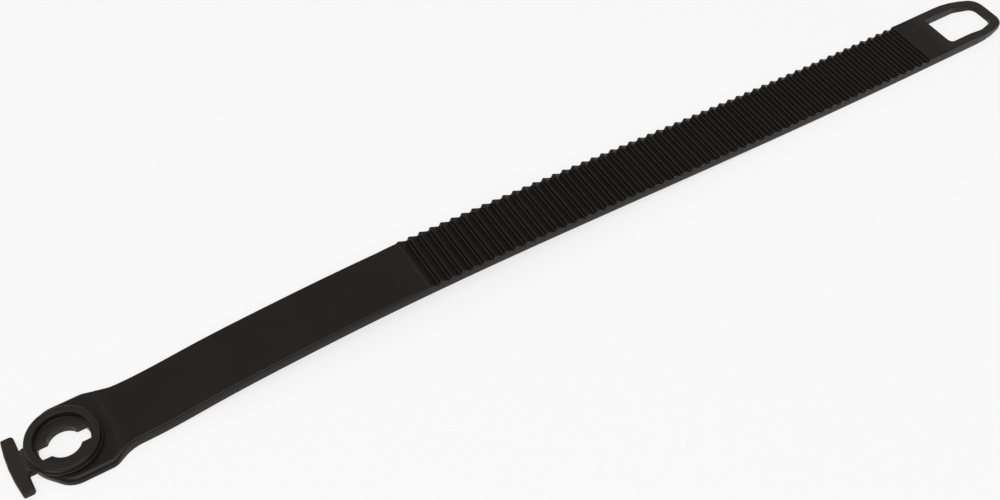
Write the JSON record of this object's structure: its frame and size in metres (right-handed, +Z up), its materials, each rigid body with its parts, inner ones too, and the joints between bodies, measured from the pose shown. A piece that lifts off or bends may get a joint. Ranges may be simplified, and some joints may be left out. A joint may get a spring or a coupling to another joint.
{
  "type": "ribbed tension strap",
  "caption": "Flexible black moulded strap: keyhole head with a T tab, plain shank, a row of sawtooth ribs and a finger loop, bending all along its length.",
  "frame": {"origin": "middle of the strap's length and width, on the surface that it lies on", "axes": "+X along the strap from the keyhole head to the finger loop, +Y across it, +Z up, ribs on top"},
  "size_m": [0.4418, 0.0316, 0.0114],
  "materials": {
    "strap_rubber": "matte moulded surface, near black",
    "bush_plastic": "satin moulded surface, near black"
  },
  "bodies": {
    "head": {"strap_head": "strap_rubber", "keyhole_bush": "bush_plastic"},
    "shank_1": {"shank_section_1": "strap_rubber"},
    "shank_2": {"shank_section_2": "strap_rubber"},
    "shank_3": {"shank_section_3": "strap_rubber"},
    "shank_4": {"shank_section_4": "strap_rubber"},
    "ribbed_1": {"ribbed_section_1": "strap_rubber"},
    "ribbed_2": {"ribbed_section_2": "strap_rubber"},
    "ribbed_3": {"ribbed_section_3": "strap_rubber"},
    "ribbed_4": {"ribbed_section_4": "strap_rubber"},
    "ribbed_5": {"ribbed_section_5": "strap_rubber"},
    "ribbed_6": {"ribbed_section_6": "strap_rubber"},
    "ribbed_7": {"ribbed_section_7": "strap_rubber"},
    "ribbed_8": {"ribbed_section_8": "strap_rubber"},
    "ribbed_9": {"ribbed_section_9": "strap_rubber"},
    "loop": {"pull_loop": "strap_rubber"}
  },
  "joints": [
    {"name": "flex_01", "type": "hinge", "parent": "head", "child": "shank_1", "pos_m": [-0.17847, 0, 0.0019], "axis": [0, -1, 0], "range_deg": [-18, 18], "stiffness_Nm_per_rad": 0.4},
    {"name": "flex_02", "type": "hinge", "parent": "shank_1", "child": "shank_2", "pos_m": [-0.15159, 0, 0.00443], "axis": [0, -1, 0], "range_deg": [-18, 18], "stiffness_Nm_per_rad": 0.4, "springref_deg": -0.69},
    {"name": "flex_03", "type": "hinge", "parent": "shank_2", "child": "shank_3", "pos_m": [-0.12468, 0, 0.00663], "axis": [0, -1, 0], "range_deg": [-18, 18], "stiffness_Nm_per_rad": 0.4, "springref_deg": -1.25},
    {"name": "flex_04", "type": "hinge", "parent": "shank_3", "child": "shank_4", "pos_m": [-0.09771, 0, 0.00795], "axis": [0, -1, 0], "range_deg": [-18, 18], "stiffness_Nm_per_rad": 0.4, "springref_deg": -1.71},
    {"name": "flex_05", "type": "hinge", "parent": "shank_4", "child": "ribbed_1", "pos_m": [-0.07072, 0, 0.0084], "axis": [0, -1, 0], "range_deg": [-18, 18], "stiffness_Nm_per_rad": 0.4, "springref_deg": -2.05},
    {"name": "flex_06", "type": "hinge", "parent": "ribbed_1", "child": "ribbed_2", "pos_m": [-0.04372, 0, 0.00814], "axis": [0, -1, 0], "range_deg": [-18, 18], "stiffness_Nm_per_rad": 0.4, "springref_deg": -2.27},
    {"name": "flex_07", "type": "hinge", "parent": "ribbed_2", "child": "ribbed_3", "pos_m": [-0.01673, 0, 0.00739], "axis": [0, -1, 0], "range_deg": [-18, 18], "stiffness_Nm_per_rad": 0.4, "springref_deg": -2.38},
    {"name": "flex_08", "type": "hinge", "parent": "ribbed_3", "child": "ribbed_4", "pos_m": [0.01025, 0, 0.00635], "axis": [0, -1, 0], "range_deg": [-18, 18], "stiffness_Nm_per_rad": 0.4, "springref_deg": -2.38},
    {"name": "flex_09", "type": "hinge", "parent": "ribbed_4", "child": "ribbed_5", "pos_m": [0.03723, 0, 0.00521], "axis": [0, -1, 0], "range_deg": [-18, 18], "stiffness_Nm_per_rad": 0.4, "springref_deg": -2.26},
    {"name": "flex_10", "type": "hinge", "parent": "ribbed_5", "child": "ribbed_6", "pos_m": [0.0642, 0, 0.00411], "axis": [0, -1, 0], "range_deg": [-18, 18], "stiffness_Nm_per_rad": 0.4, "springref_deg": -2.03},
    {"name": "flex_11", "type": "hinge", "parent": "ribbed_6", "child": "ribbed_7", "pos_m": [0.09119, 0, 0.00317], "axis": [0, -1, 0], "range_deg": [-18, 18], "stiffness_Nm_per_rad": 0.4, "springref_deg": -1.7},
    {"name": "flex_12", "type": "hinge", "parent": "ribbed_7", "child": "ribbed_8", "pos_m": [0.11818, 0, 0.00247], "axis": [0, -1, 0], "range_deg": [-18, 18], "stiffness_Nm_per_rad": 0.4, "springref_deg": -1.24},
    {"name": "flex_13", "type": "hinge", "parent": "ribbed_8", "child": "ribbed_9", "pos_m": [0.14517, 0, 0.00204], "axis": [0, -1, 0], "range_deg": [-18, 18], "stiffness_Nm_per_rad": 0.4, "springref_deg": -0.68},
    {"name": "flex_14", "type": "hinge", "parent": "ribbed_9", "child": "loop", "pos_m": [0.17217, 0, 0.0019], "axis": [0, -1, 0], "range_deg": [-18, 18], "stiffness_Nm_per_rad": 0.4}
  ]
}
